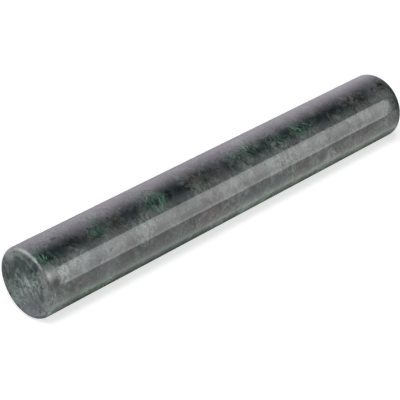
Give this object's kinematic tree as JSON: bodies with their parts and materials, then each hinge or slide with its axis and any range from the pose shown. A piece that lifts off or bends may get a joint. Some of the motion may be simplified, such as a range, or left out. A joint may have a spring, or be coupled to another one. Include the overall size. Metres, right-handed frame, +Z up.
{
  "type": "rolling pin",
  "caption": "Straight rolling pin without handles: a solid cylinder of polished dark green marble, with flat end faces and rounded edges.",
  "frame": {"origin": "under the middle of the pin's length, on the surface that it lies on", "axes": "+X along the pin's axis, away from the end that the picture shows; +Z up; +Y completes the right-handed frame"},
  "size_m": [0.3048, 0.0444, 0.0444],
  "materials": {
    "polished_green_marble": "polished"
  },
  "bodies": {
    "root": {"rolling_pin": "polished_green_marble"}
  },
  "joints": []
}
